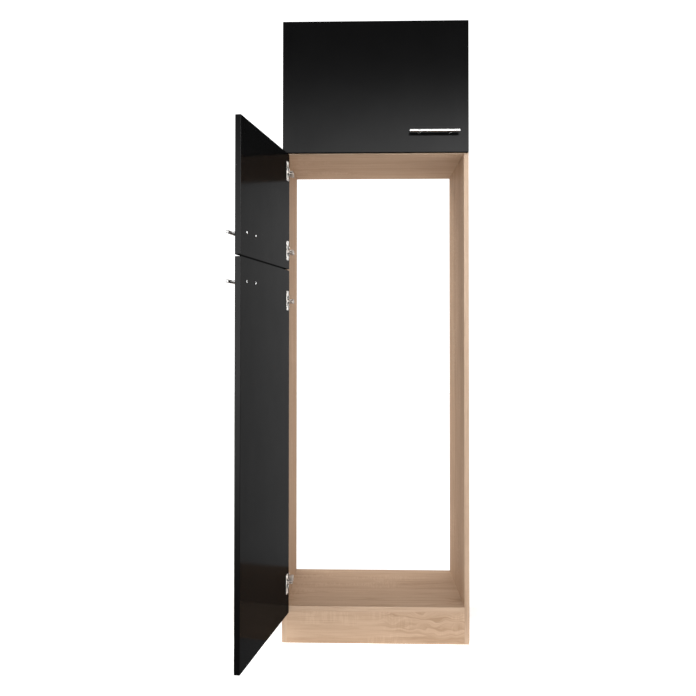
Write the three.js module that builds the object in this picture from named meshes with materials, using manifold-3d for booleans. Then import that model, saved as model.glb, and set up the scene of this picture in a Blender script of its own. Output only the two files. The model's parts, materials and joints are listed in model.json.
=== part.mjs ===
// Tall kitchen housing for a built-in fridge-freezer. Two side boards run down to the floor and
// carry a niche that is open at its front and back, a closed compartment above it, and three
// fronts on concealed cup hinges. The two lower fronts stand open.
// Millimetres. +X is to the right, +Y runs into the housing and +Z is up. The origin is the
// middle of the plinth board's underside.
import * as THREE from 'three';
import { mergeVertices } from 'three/addons/utils/BufferGeometryUtils.js';
import Module from 'manifold-3d';

// Carcass boards. Heights are measured from the floor.
const carcass = {
  width: 600, // over both side boards
  depth: 500, // of the side boards, without the fronts
  board: 16, // thickness of every carcass board
  nicheFloorTop: 118, // height of the floor that the appliance stands on
  nicheHeight: 1452, // clear height for the appliance
  compartmentHeight: 398, // clear height of the compartment above
  edging: 0.8, // rounding of the edging strip on the front edges
};

// Thin back of the top compartment, held in grooves
const back = {
  thickness: 3,
  inset: 12, // from the rear edges of the boards
  entry: 7, // how far it reaches into the boards round it
};

// Adjustable shelf, halfway up the top compartment
const shelf = {
  setback: 20, // behind the front edges
  rearGap: 24.4, // in front of the back's groove
  sideGap: 1.5, // to each side board
  pinRadius: 2.5,
  pinEntry: 9, // into the side board
  pinReach: 8, // out of the side board
  pinWidth: 9,
  pinFlat: 2.5, // thickness of the pin's flat tongue
  pinFront: 37, // front line of holes, behind the front edges
  pinRear: 120, // rear line of holes, in front of the rear edges
  holePitch: 32,
  holeCount: 3, // holes in a line, the shelf stands on the middle one
};

// Fronts, from the lowest to the highest
const fronts = {
  thickness: 16,
  sideReveal: 1.5, // carcass left bare at each side
  floorOverlap: 20, // of the lower front, below the top of the niche's floor
  middleHeight: 371, // the middle front ends level with the niche's top
  gap: 4, // between two fronts
  topReveal: 1, // carcass left bare above the top front
  standOff: 2, // from the carcass's front edges to a closed front
  edging: 1, // rounding of all its edges
};

// Swing of a front. A front that stands open at `openAngle` has the corner of its inner face
// and hinge edge at `openCornerX`, `openCornerY`, from the carcass's outer left front corner.
const swing = {
  openAngle: THREE.MathUtils.degToRad(98.4),
  openCornerX: 22.5,
  openCornerY: -7,
  armPinX: 30.4, // from the carcass's outer left face to the arm's pin
};

// Cup of a hinge, let into the front's inner face
const cup = {
  boreRadius: 17.5,
  boreDepth: 11.5,
  centreInset: 22.5, // from the front's hinge edge
  wall: 1,
  pinInset: 10, // from the front's hinge edge
  pinDepth: 5, // below the front's inner face
  pinRadius: 1.25,
  flangeLength: 62,
  flangeWidth: 25,
  flangeInset: 16, // from the front's hinge edge
  flangeCorner: 5,
  flangeThickness: 1.2,
  screwPitch: 48,
  screwOffset: 6, // of the screw line, past the cup's centre
  screwRadius: 2.1,
  notchHalfWidth: 7, // of the gap in the rim that the link swings through
  notchDepth: 2.5,
  notchReach: 9, // from the front's hinge edge
};

// Link between the arm and the cup: a curved plate with an eye at each end
const link = {
  halfWidth: 5,
  plate: 3, // thickness of the curved plate
  rise: 5, // of the curve over its chord
  eyeRadius: 2.6,
  windowHalfWidth: 2.4, // the plate's middle is open between its two cheeks
};

// Arm of a hinge: a channel with its open side towards the side board
const arm = {
  tipRadius: 3.6,
  halfWidth: 6.6,
  cheek: 1.2,
  web: 1.5,
  webStart: 4, // behind the carcass's front edges
  end: 62, // behind the carcass's front edges
  height: 10, // of the channel
  endCorner: 3,
  screwHole: 2.6, // radius of the holes for its two adjusting screws
  sideScrew: 20, // places of the screws behind the carcass's front edges
  depthScrew: 52,
};

// Mounting plate of a hinge, on the side board
const plate = {
  base: 2.5, // thickness on the side board
  wingLength: 48,
  wingWidth: 17,
  wingCorner: 6,
  line: 37, // its screw line behind the carcass's front edges
  screwPitch: 32,
  screwRadius: 2.6,
  ridgeStart: 16,
  ridgeEnd: 60,
};

// Places of the hinges from the ends of each front
const hingeInset = { top: 90, middle: 58, lower: 98 };

// Bar handle on two posts, screwed through the front
const handle = {
  barLength: 160,
  barRadius: 5,
  barEndCorner: 0.6,
  postPitch: 96,
  postRadius: 3.5,
  footRadius: 4.5,
  footHeight: 2,
  projection: 34, // of the bar's far side from the front
  centreInset: 110, // of the bar's middle, from the front's free edge
  edgeInset: 64, // of the bar's axis, from the front's nearer end
};

// Shallow pilot holes in a front's inner face, for a handle fitted elsewhere
const pilot = {
  radius: 1.5,
  depth: 2.5,
  lowerHeight: 444, // above the lower front's lower edge
};

// Screws that hold the handle
const screw = {
  radius: 1.9,
  holeRadius: 2.4,
  headRadius: 4,
  headHeight: 2.2,
  entry: 7, // into the post
  slotWidth: 1,
  slotDepth: 0.9,
  slotLength: 5,
};

const clearance = 0.3; // between pieces that sit in or on each other
const overrun = 1; // of a cutting body past the face that it cuts
const roundSteps = 14; // sides of a small round piece
const cupSteps = 26; // sides of a cup and its bore
const holeSteps = 10; // sides of a small hole
const cornerSteps = 2; // steps of a rounded edge

const wasm = await Module();
wasm.setup();

// Sizes worked out from the ones above
const innerLeft = carcass.board;
const innerRight = carcass.width - carcass.board;
const nicheTop = carcass.nicheFloorTop + carcass.nicheHeight;
const compartmentFloor = nicheTop + carcass.board;
const compartmentTop = compartmentFloor + carcass.compartmentHeight;
const carcassHeight = compartmentTop + carcass.board;
const shelfHeight = compartmentFloor + (carcass.compartmentHeight - carcass.board) / 2;
const frontWidth = carcass.width - 2 * fronts.sideReveal;
const grooveWidth = back.thickness + 2 * clearance;
const grooveStart = carcass.depth - back.inset - grooveWidth;
const shelfDepth = grooveStart - shelf.rearGap - shelf.setback;
const lowerBottom = carcass.nicheFloorTop - fronts.floorOverlap;
const middleBottom = nicheTop - fronts.middleHeight;
const lowerHeight = middleBottom - fronts.gap - lowerBottom;
const topBottom = nicheTop + fronts.gap;
const topHeight = carcassHeight - fronts.topReveal - topBottom;

// Solids from three.js geometries, and back
function solid(geometry) {
  const bare = geometry.index ? geometry.toNonIndexed() : geometry.clone();
  bare.deleteAttribute('normal');
  bare.deleteAttribute('uv');
  const merged = mergeVertices(bare);
  return new wasm.Manifold(new wasm.Mesh({
    numProp: 3,
    vertProperties: new Float32Array(merged.attributes.position.array),
    triVerts: new Uint32Array(merged.index.array),
  }));
}

function geometryOf(body) {
  const mesh = body.getMesh();
  const geometry = new THREE.BufferGeometry();
  geometry.setAttribute('position', new THREE.BufferAttribute(mesh.vertProperties, 3));
  geometry.setIndex(new THREE.BufferAttribute(mesh.triVerts, 1));
  return geometry;
}

const cut = (body, ...tools) => tools.reduce((rest, tool) => rest.subtract(tool), body);
const join = (body, ...others) => others.reduce((whole, other) => whole.add(other), body);

// A block between two corners
function block(low, high) {
  const size = high.clone().sub(low);
  const geometry = new THREE.BoxGeometry(size.x, size.y, size.z);
  geometry.translate((low.x + high.x) / 2, (low.y + high.y) / 2, (low.z + high.z) / 2);
  return solid(geometry);
}

const at = (x, y, z) => new THREE.Vector3(x, y, z);

// Round rods that start at `from` and run along one axis
function rod(radius, length, from, axis, steps = roundSteps) {
  const geometry = new THREE.CylinderGeometry(radius, radius, length, steps);
  geometry.translate(0, length / 2, 0);
  if (axis === 'x') geometry.rotateZ(-Math.PI / 2);
  if (axis === 'z') geometry.rotateX(Math.PI / 2);
  geometry.translate(from.x, from.y, from.z);
  return solid(geometry);
}

// A flat outline pushed along +Z
function prism(outline, length) {
  const shape = { depth: length, bevelEnabled: false, curveSegments: cornerSteps };
  return new THREE.ExtrudeGeometry(outline, shape);
}

// Outline of a board whose two front edges are rounded: across it along X, into it along Y
function edgedOutline(across, deep) {
  const round = carcass.edging;
  const outline = new THREE.Shape();
  outline.moveTo(0, deep);
  outline.lineTo(0, round);
  outline.absarc(round, round, round, Math.PI, 1.5 * Math.PI);
  outline.lineTo(across - round, 0);
  outline.absarc(across - round, round, round, -Math.PI / 2, 0);
  outline.lineTo(across, deep);
  outline.closePath();
  return outline;
}

function uprightBoard(x, height) {
  const geometry = prism(edgedOutline(carcass.board, carcass.depth), height);
  geometry.translate(x, 0, 0);
  return solid(geometry);
}

function levelBoard(x, y, z, width, depth) {
  const geometry = prism(edgedOutline(carcass.board, depth), width);
  geometry.rotateY(-Math.PI / 2);
  geometry.translate(x + width, y, z);
  return solid(geometry);
}

// Outline of a rectangle with round corners
function roundedOutline(left, bottom, right, top, corner) {
  const outline = new THREE.Shape();
  outline.moveTo(left, bottom + corner);
  outline.absarc(left + corner, bottom + corner, corner, Math.PI, 1.5 * Math.PI);
  outline.absarc(right - corner, bottom + corner, corner, -Math.PI / 2, 0);
  outline.absarc(right - corner, top - corner, corner, 0, Math.PI / 2);
  outline.absarc(left + corner, top - corner, corner, Math.PI / 2, Math.PI);
  outline.closePath();
  return outline;
}

// Finishes
const finishes = {
  oak: { color: 0xc9ab84, roughness: 0.6, metalness: 0 },
  black: { color: 0x191a1b, roughness: 0.45, metalness: 0 },
  backing: { color: 0xd8c6a6, roughness: 0.7, metalness: 0 },
  nickel: { color: 0xb9b6ae, roughness: 0.35, metalness: 1 },
  steel: { color: 0xc4c6c8, roughness: 0.3, metalness: 1 },
  zinc: { color: 0xd6d6d2, roughness: 0.35, metalness: 1 },
};

function place(parent, name, body, finish) {
  const mesh = new THREE.Mesh(geometryOf(body), new THREE.MeshStandardMaterial(finishes[finish]));
  mesh.name = name;
  parent.add(mesh);
}

const pinLines = { front: shelf.pinFront, back: carcass.depth - shelf.pinRear };

// Side boards, with the back's groove and the shelf's rows of holes
function grooveBlock(left, right) {
  const low = at(left, grooveStart, compartmentFloor - back.entry - clearance);
  const high = at(right, grooveStart + grooveWidth, compartmentTop + back.entry + clearance);
  return block(low, high);
}

function pinHoles(x) {
  const holes = [];
  const length = shelf.pinEntry + clearance + overrun;
  const middle = shelfHeight - shelf.pinFlat / 2;
  const first = middle - shelf.holePitch * (shelf.holeCount - 1) / 2;
  for (const y of Object.values(pinLines)) {
    for (let i = 0; i < shelf.holeCount; i += 1) {
      const from = at(x, y, first + i * shelf.holePitch);
      holes.push(rod(shelf.pinRadius + clearance, length, from, 'x', holeSteps));
    }
  }
  return holes;
}

function sideBoards(parent) {
  const reach = back.entry + clearance;
  const depth = shelf.pinEntry + clearance;
  const left = cut(
    uprightBoard(0, carcassHeight),
    grooveBlock(innerLeft - reach, innerLeft + overrun),
    ...pinHoles(innerLeft - depth),
  );
  const right = cut(
    uprightBoard(innerRight, carcassHeight),
    grooveBlock(innerRight - overrun, innerRight + reach),
    ...pinHoles(innerRight - overrun),
  );
  place(parent, 'left_side', left, 'oak');
  place(parent, 'right_side', right, 'oak');
}

// Boards between the sides
function levelBoards(parent) {
  const width = innerRight - innerLeft;
  const grooveTop = grooveBlock(innerLeft - overrun, innerRight + overrun);
  const floorZ = carcass.nicheFloorTop - carcass.board;
  const full = (z) => levelBoard(innerLeft, 0, z, width, carcass.depth);
  place(parent, 'top_board', cut(full(compartmentTop), grooveTop), 'oak');
  place(parent, 'niche_top_board', cut(full(nicheTop), grooveTop), 'oak');
  place(parent, 'niche_floor_board', full(floorZ), 'oak');
  const plinth = block(at(innerLeft, 0, 0), at(innerRight, carcass.board, floorZ));
  place(parent, 'plinth_board', plinth, 'oak');
}

// Back of the compartment, loose in its grooves
function compartmentBack(parent) {
  const start = grooveStart + clearance;
  const low = at(innerLeft - back.entry, start, compartmentFloor - back.entry);
  const high = at(innerRight + back.entry, start + back.thickness, compartmentTop + back.entry);
  place(parent, 'compartment_back', block(low, high), 'backing');
}

// Shelf and the four pins that it lies on
function compartmentShelf(parent) {
  const left = innerLeft + shelf.sideGap;
  const width = innerRight - innerLeft - 2 * shelf.sideGap;
  const board = levelBoard(left, shelf.setback, shelfHeight, width, shelfDepth);
  place(parent, 'shelf', board, 'oak');
  for (const [row, y] of Object.entries(pinLines)) {
    place(parent, `shelf_pin_${row}_left`, shelfPin(innerLeft, y, 1), 'steel');
    place(parent, `shelf_pin_${row}_right`, shelfPin(innerRight, y, -1), 'steel');
  }
}

function shelfPin(wall, y, inward) {
  const top = shelfHeight;
  const middle = top - shelf.pinFlat / 2;
  const out = wall + inward * (shelf.pinReach + clearance);
  const start = inward > 0 ? wall - shelf.pinEntry : out;
  const length = shelf.pinEntry + shelf.pinReach + clearance;
  const half = shelf.pinWidth / 2;
  const near = wall + inward * clearance;
  const low = at(Math.min(near, out), y - half, top - shelf.pinFlat);
  const high = at(Math.max(near, out), y + half, top);
  const stem = rod(shelf.pinRadius, length, at(start, y, middle), 'x');
  const above = at(start - overrun, y - shelf.pinWidth, top);
  const aboveEnd = at(start + length + overrun, y + shelf.pinWidth, top + shelf.pinWidth);
  const inWall = inward > 0 ? start - overrun : wall;
  const inWallEnd = inward > 0 ? wall : start + length + overrun;
  const entry = block(at(inWall, y - half, middle - half), at(inWallEnd, y + half, middle + half));
  return join(cut(stem, block(above, aboveEnd)), block(low, high), stem.intersect(entry));
}

// The hinge's linkage seen from above, from the carcass's outer left front corner. A closed
// front is turned about one still point onto the open front. An arm pin at one distance from
// the closed and the open cup pin lies on the line that halves the angle between them.
const flat = (x, y) => new THREE.Vector2(x, y);
const turned = (vector, angle) => vector.clone().rotateAround(flat(0, 0), angle);

function linkage() {
  const closedCorner = flat(fronts.sideReveal, -fronts.standOff);
  const openCorner = flat(swing.openCornerX, swing.openCornerY);
  const frontTurn = -swing.openAngle;
  const shift = openCorner.clone().sub(closedCorner);
  const aside = turned(shift, Math.PI / 2).divideScalar(2 * Math.tan(frontTurn / 2));
  const still = closedCorner.clone().add(openCorner).multiplyScalar(0.5).add(aside);
  const cupPin = closedCorner.clone().add(flat(cup.pinInset, -cup.pinDepth));
  const toPin = cupPin.clone().sub(still);
  const openPin = still.clone().add(turned(toPin, frontTurn));
  const halving = turned(toPin, frontTurn / 2).normalize();
  const reach = (swing.armPinX - still.x) / halving.x;
  const armPin = still.clone().add(halving.multiplyScalar(reach));
  const toClosed = cupPin.clone().sub(armPin);
  const toOpen = openPin.clone().sub(armPin);
  const linkTurn = toOpen.angle() - toClosed.angle();
  return { closedCorner, cupPin, armPin, toClosed, frontTurn, linkTurn };
}

const plan = linkage();

// Where a front and its links stand: 0 is closed, and 1 is open at `openAngle`
function stance(share) {
  const linkTurn = plan.linkTurn * share;
  const frontTurn = plan.frontTurn * share;
  const pin = plan.armPin.clone().add(turned(plan.toClosed, linkTurn));
  const fromPin = plan.closedCorner.clone().sub(plan.cupPin);
  const corner = pin.clone().add(turned(fromPin, frontTurn));
  return { pin, corner, linkTurn, frontTurn };
}

// Mounting plate: wings on the side board and a ridge that the arm is hooked over
function hingePlate(z) {
  const half = plate.wingLength / 2;
  const wings = prism(roundedOutline(
    plate.line - plate.wingWidth / 2, -half, plate.line + plate.wingWidth / 2, half,
    plate.wingCorner,
  ), plate.base);
  standOnWall(wings);
  const ridgeHalf = arm.halfWidth - arm.cheek - clearance;
  const ridgeTop = armBack() - arm.web - clearance;
  const ridge = block(at(innerLeft, plate.ridgeStart, -ridgeHalf), at(ridgeTop, plate.ridgeEnd, ridgeHalf));
  const hollow = block(
    at(ridgeTop - arm.height + arm.web, plate.line - plate.wingWidth / 2, -ridgeHalf / 2),
    at(ridgeTop + overrun, plate.line + plate.wingWidth / 2, ridgeHalf / 2),
  );
  const holes = [-1, 1].map((side) => rod(
    plate.screwRadius, plate.base + 2 * overrun,
    at(innerLeft - overrun, plate.line, side * plate.screwPitch / 2), 'x',
  ));
  return cut(join(solid(wings), ridge), hollow, ...holes).translate(0, 0, z);
}

// Turns an outline drawn along the depth and height into a plate that stands on the side board
function standOnWall(geometry) {
  geometry.rotateX(Math.PI / 2);
  geometry.rotateZ(Math.PI / 2);
  geometry.translate(innerLeft, 0, 0);
}

// Outer face of the arm's web
const armBack = () => plan.armPin.x + arm.tipRadius;

// Arm: two cheeks that end round the arm pin, the web that joins them, and the pin
function hingeArm(z) {
  const pin = plan.armPin;
  const outer = armBack();
  const inner = outer - arm.height;
  const side = new THREE.Shape();
  side.moveTo(outer, arm.end - arm.endCorner);
  side.absarc(outer - arm.endCorner, arm.end - arm.endCorner, arm.endCorner, 0, Math.PI / 2);
  side.lineTo(inner, arm.end);
  side.lineTo(inner, arm.webStart);
  side.absarc(pin.x, pin.y, arm.tipRadius, Math.PI, 2 * Math.PI);
  side.closePath();
  const whole = prism(side, 2 * arm.halfWidth);
  whole.translate(0, 0, -arm.halfWidth);
  const free = arm.halfWidth - arm.cheek;
  const channel = block(
    at(inner - overrun, arm.webStart, -free), at(outer - arm.web, arm.end + overrun, free),
  );
  const mouth = block(
    at(inner - overrun, pin.y - 2 * arm.tipRadius, -free), at(outer + overrun, arm.webStart, free),
  );
  const holes = [arm.sideScrew, arm.depthScrew].map((y) => rod(
    arm.screwHole, arm.web + 2 * overrun, at(outer - arm.web - overrun, y, 0), 'x',
  ));
  const axle = rod(cup.pinRadius, 2 * free + arm.cheek, at(pin.x, pin.y, -free - arm.cheek / 2), 'z');
  return join(cut(solid(whole), channel, mouth, ...holes), axle).translate(0, 0, z);
}

// Link, drawn from the arm pin with the cup pin on its left at the same height
function hingeLink() {
  const chord = plan.toClosed.length();
  const radius = (chord * chord / 4 + link.rise * link.rise) / (2 * link.rise);
  const centre = flat(-chord / 2, radius - link.rise);
  const half = link.plate / 2;
  const spread = Math.asin(chord / 2 / radius);
  const start = -Math.PI / 2 - spread;
  const end = -Math.PI / 2 + spread;
  const band = new THREE.Shape();
  band.absarc(centre.x, centre.y, radius + half, start, end);
  band.absarc(centre.x, centre.y, radius - half, end, start, true);
  band.closePath();
  const curved = new THREE.ExtrudeGeometry(band, {
    depth: 2 * link.halfWidth, bevelEnabled: false, curveSegments: roundSteps / 2,
  });
  curved.translate(0, 0, -link.halfWidth);
  const from = (x) => at(x, 0, -link.halfWidth);
  const eyes = [0, -chord].map((x) => rod(link.eyeRadius, 2 * link.halfWidth, from(x), 'z'));
  const bores = [0, -chord].map((x) => rod(
    cup.pinRadius + clearance, 2 * (link.halfWidth + overrun), at(x, 0, -link.halfWidth - overrun), 'z',
  ));
  const window = block(
    at(-chord / 2 - link.rise, -2 * link.rise, -link.windowHalfWidth),
    at(-chord / 2 + link.rise, link.rise, link.windowHalfWidth),
  );
  return cut(join(solid(curved), ...eyes), ...bores, window);
}

// Cup with its flange, drawn in the front's own frame: X from the hinge edge, Y out of the
// inner face and Z up
function hingeCup(z) {
  const outer = cup.boreRadius - clearance;
  const inner = outer - cup.wall;
  const floor = clearance - cup.boreDepth;
  const rim = clearance + cup.flangeThickness;
  const profile = [
    flat(0, floor), flat(outer - cup.wall, floor), flat(outer, floor + cup.wall), flat(outer, rim),
    flat(inner, rim), flat(inner, floor + cup.wall), flat(0, floor + cup.wall),
  ];
  const bowl = new THREE.LatheGeometry(profile, cupSteps);
  bowl.translate(cup.centreInset, 0, 0);
  const half = cup.flangeLength / 2;
  const wings = prism(roundedOutline(
    cup.flangeInset, -half, cup.flangeInset + cup.flangeWidth, half, cup.flangeCorner,
  ), cup.flangeThickness);
  wings.rotateX(Math.PI / 2);
  wings.translate(0, rim, 0);
  const mouth = rod(inner, 2 * cup.boreDepth, at(cup.centreInset, -overrun, 0), 'y', cupSteps);
  const screwX = cup.centreInset + cup.screwOffset;
  const holes = [-1, 1].map((side) => rod(
    cup.screwRadius, 2 * overrun + cup.flangeThickness,
    at(screwX, clearance - overrun, side * cup.screwPitch / 2), 'y',
  ));
  const notch = block(
    at(0, -cup.notchDepth, -cup.notchHalfWidth),
    at(cup.notchReach, rim + overrun, cup.notchHalfWidth),
  );
  const fromCentre = cup.centreInset - cup.pinInset;
  const halfChord = Math.sqrt(inner * inner - fromCentre * fromCentre) + cup.wall / 2;
  const axle = rod(
    cup.pinRadius, 2 * halfChord, at(cup.pinInset, -cup.pinDepth, -halfChord), 'z',
  );
  const shell = cut(join(solid(bowl), cut(solid(wings), mouth, ...holes)), notch);
  return join(shell, axle).translate(0, 0, z);
}

// Front board in its own frame, with its cup bores, the holes of its handle and pilot holes
function frontBoard(height, hingeHeights, handleZ, pilots) {
  const round = fronts.edging;
  const outline = roundedOutline(round, round, frontWidth - round, height - round, round);
  const bare = new THREE.ExtrudeGeometry(outline, {
    depth: fronts.thickness - 2 * round,
    bevelEnabled: true,
    bevelThickness: round,
    bevelSize: round,
    bevelSegments: cornerSteps,
    curveSegments: cornerSteps,
  });
  bare.rotateX(Math.PI / 2);
  bare.translate(0, -round, 0);
  const bores = hingeHeights.map((z) => rod(
    cup.boreRadius, cup.boreDepth + overrun, at(cup.centreInset, -cup.boreDepth, z), 'y', cupSteps,
  ));
  const holes = postPlaces().map((x) => rod(
    screw.holeRadius, fronts.thickness + 2 * overrun,
    at(x, -fronts.thickness - overrun, handleZ), 'y', holeSteps,
  ));
  const marks = pilots.map((place) => rod(
    pilot.radius, pilot.depth + overrun, at(place.x, -pilot.depth, place.y), 'y', holeSteps,
  ));
  return cut(solid(bare), ...bores, ...holes, ...marks);
}

// Handle, in the front's frame
function postPlaces() {
  const centre = frontWidth - handle.centreInset;
  return [centre - handle.postPitch / 2, centre + handle.postPitch / 2];
}

const barAxis = () => handle.barRadius - fronts.thickness - handle.projection;

function handleBar(z) {
  const start = frontWidth - handle.centreInset - handle.barLength / 2;
  const end = handle.barEndCorner;
  const profile = [
    flat(0, 0), flat(handle.barRadius - end, 0), flat(handle.barRadius, end),
    flat(handle.barRadius, handle.barLength - end), flat(handle.barRadius - end, handle.barLength),
    flat(0, handle.barLength),
  ];
  const bar = new THREE.LatheGeometry(profile, roundSteps);
  bar.rotateZ(-Math.PI / 2);
  bar.translate(start, barAxis(), z);
  return solid(bar);
}

function handlePost(x, z) {
  const foot = -fronts.thickness - clearance;
  const profile = [
    flat(0, barAxis()), flat(handle.postRadius, barAxis()),
    flat(handle.postRadius, foot - handle.footHeight - handle.barEndCorner),
    flat(handle.footRadius, foot - handle.footHeight), flat(handle.footRadius, foot), flat(0, foot),
  ];
  const stem = new THREE.LatheGeometry(profile, roundSteps);
  stem.translate(x, 0, z);
  const saddle = rod(
    handle.barRadius + clearance, 4 * handle.footRadius,
    at(x - 2 * handle.footRadius, barAxis(), z), 'x',
  );
  const thread = rod(
    screw.radius + clearance, screw.entry + clearance + overrun,
    at(x, foot - screw.entry - clearance, z), 'y',
  );
  return cut(solid(stem), saddle, thread);
}

function handleScrew(x, z) {
  const tip = -fronts.thickness - screw.entry;
  const seat = clearance;
  const profile = [
    flat(0, tip), flat(screw.radius, tip), flat(screw.radius, seat), flat(screw.headRadius, seat),
    flat(screw.headRadius, seat + screw.headHeight / 2),
    flat(screw.headRadius / 2, seat + screw.headHeight), flat(0, seat + screw.headHeight),
  ];
  const whole = new THREE.LatheGeometry(profile, holeSteps);
  whole.translate(x, 0, z);
  const top = seat + screw.headHeight;
  const slots = [0, 1].map((across) => {
    const long = across ? screw.slotWidth : screw.slotLength;
    const wide = across ? screw.slotLength : screw.slotWidth;
    const low = at(x - long / 2, top - screw.slotDepth, z - wide / 2);
    return block(low, at(x + long / 2, top + overrun, z + wide / 2));
  });
  return cut(solid(whole), ...slots);
}

// A front with all that hangs on it, and the fixed halves of its hinges
function front(parent, name, { bottom, height, inset, handleZ, share, pilots = [] }) {
  const { corner, linkTurn, frontTurn } = stance(share);
  const leaf = new THREE.Group();
  leaf.position.set(corner.x, corner.y, bottom);
  leaf.rotation.z = frontTurn;
  parent.add(leaf);
  const heights = { lower: inset, upper: height - inset };
  const board = frontBoard(height, Object.values(heights), handleZ, pilots);
  place(leaf, `${name}_door`, board, 'black');
  for (const [row, z] of Object.entries(heights)) {
    const hinge = `${name}_door_${row}_hinge`;
    place(parent, `${hinge}_plate`, hingePlate(bottom + z), 'nickel');
    place(parent, `${hinge}_arm`, hingeArm(bottom + z), 'nickel');
    place(leaf, `${hinge}_cup`, hingeCup(z), 'nickel');
    const joint = new THREE.Group();
    joint.position.set(plan.armPin.x, plan.armPin.y, bottom + z);
    joint.rotation.z = plan.toClosed.angle() - Math.PI + linkTurn;
    parent.add(joint);
    place(joint, `${hinge}_link`, hingeLink(), 'nickel');
  }
  place(leaf, `${name}_handle_bar`, handleBar(handleZ), 'steel');
  const posts = postPlaces();
  ['inner', 'outer'].forEach((side, i) => {
    place(leaf, `${name}_handle_post_${side}`, handlePost(posts[i], handleZ), 'steel');
    place(leaf, `${name}_handle_screw_${side}`, handleScrew(posts[i], handleZ), 'zinc');
  });
}

// Assembly
const housing = new THREE.Group();
const cabinet = new THREE.Group();
cabinet.position.set(-carcass.width / 2, -carcass.board / 2, 0);
housing.add(cabinet);
sideBoards(cabinet);
levelBoards(cabinet);
compartmentBack(cabinet);
compartmentShelf(cabinet);
front(cabinet, 'top', {
  bottom: topBottom,
  height: topHeight,
  inset: hingeInset.top,
  handleZ: handle.edgeInset,
  share: 0,
});
front(cabinet, 'middle', {
  bottom: middleBottom,
  height: fronts.middleHeight,
  inset: hingeInset.middle,
  handleZ: handle.edgeInset,
  share: 1,
  pilots: postPlaces().map((x) => flat(x, fronts.middleHeight - handle.edgeInset)),
});
front(cabinet, 'lower', {
  bottom: lowerBottom,
  height: lowerHeight,
  inset: hingeInset.lower,
  handleZ: lowerHeight - handle.edgeInset,
  share: 1,
  pilots: [flat(postPlaces()[1], pilot.lowerHeight)],
});

export default housing;
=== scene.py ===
"""Looks of a tall kitchen housing for a built-in fridge-freezer.

Oak-decor boards, black satin fronts on nickel cup hinges, and brushed bar handles, dressed round
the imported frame. Metres, in the frame's own axes: +X to the right, +Y into the housing, +Z up.
"""

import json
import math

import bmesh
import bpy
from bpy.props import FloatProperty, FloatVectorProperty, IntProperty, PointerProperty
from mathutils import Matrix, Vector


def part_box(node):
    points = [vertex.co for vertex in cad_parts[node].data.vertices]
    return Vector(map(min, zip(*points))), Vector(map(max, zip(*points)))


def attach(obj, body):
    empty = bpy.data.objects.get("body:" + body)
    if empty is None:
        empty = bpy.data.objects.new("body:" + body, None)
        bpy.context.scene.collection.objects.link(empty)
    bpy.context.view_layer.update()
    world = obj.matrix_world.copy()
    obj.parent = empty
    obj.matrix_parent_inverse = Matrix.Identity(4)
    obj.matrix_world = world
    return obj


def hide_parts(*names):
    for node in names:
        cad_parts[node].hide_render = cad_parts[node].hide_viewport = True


bl_info = {
    "name": "Fridge Housing Looks",
    "version": (1, 0, 0),
    "blender": (4, 5, 0),
    "location": "View3D > Sidebar > Housing",
    "description": "Finishes and fine pieces of a tall kitchen housing with black fronts",
    "category": "Object",
}

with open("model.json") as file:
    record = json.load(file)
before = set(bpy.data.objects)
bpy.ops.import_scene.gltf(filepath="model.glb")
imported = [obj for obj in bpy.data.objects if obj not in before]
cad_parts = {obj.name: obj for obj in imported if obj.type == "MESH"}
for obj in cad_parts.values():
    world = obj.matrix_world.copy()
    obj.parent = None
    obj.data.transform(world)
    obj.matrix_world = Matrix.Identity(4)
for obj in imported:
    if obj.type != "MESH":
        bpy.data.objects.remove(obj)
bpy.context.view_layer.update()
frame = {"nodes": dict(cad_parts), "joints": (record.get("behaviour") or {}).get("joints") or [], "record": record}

DOORS = ("top", "middle", "lower")
HINGES = [(door, row) for door in DOORS for row in ("lower", "upper")]
JOINTS = {joint["name"]: joint for joint in frame["joints"]}
Y, Z = Vector((0, 1, 0)), Vector((0, 0, 1))
QUARTER = math.pi / 2
ON_SIDE = Matrix(((0, 0, 1, 0), (1, 0, 0, 0), (0, 1, 0, 0), (0, 0, 0, 1)))  # stands a prism along X
OVERRUN = 0.001  # of a cutting body past the face that it cuts
TINY = 1e-6  # shorter than any edge
HINGE = "top_door_lower_hinge"  # gives the sizes of all hinges
PIN_STEPS = 24  # sides of a hinge pin
HOLE_STEPS = 32  # sides of a small hole

# Small screws: radius and height of the head, then radius and reach of the shank
CUP_SCREW = (0.0035, 0.0012, 0.0018, 0.009)
PLATE_SCREW = (0.0036, 0.0018, 0.0018, 0.01)
ARM_SCREW = (0.0024, 0.0011, 0.0016, 0.006)


def number(label, text, default, **more):
    """A number that a user can change."""
    return FloatProperty(name=label, description=text, default=default, **more)


def numbers(label, text, default, **more):
    """Numbers that a user can change."""
    return FloatVectorProperty(name=label, description=text, default=default, size=len(default), **more)


def length(label, text, default):
    """A size in metres."""
    return number(label, text, default, unit="LENGTH", precision=5)


def share(label, text, default):
    """A number from 0 to 1."""
    return number(label, text, default, min=0, max=1, subtype="FACTOR")


def colour(label, text, default):
    """A linear colour."""
    return numbers(label, text, default, subtype="COLOR", min=0, max=1)


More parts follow.
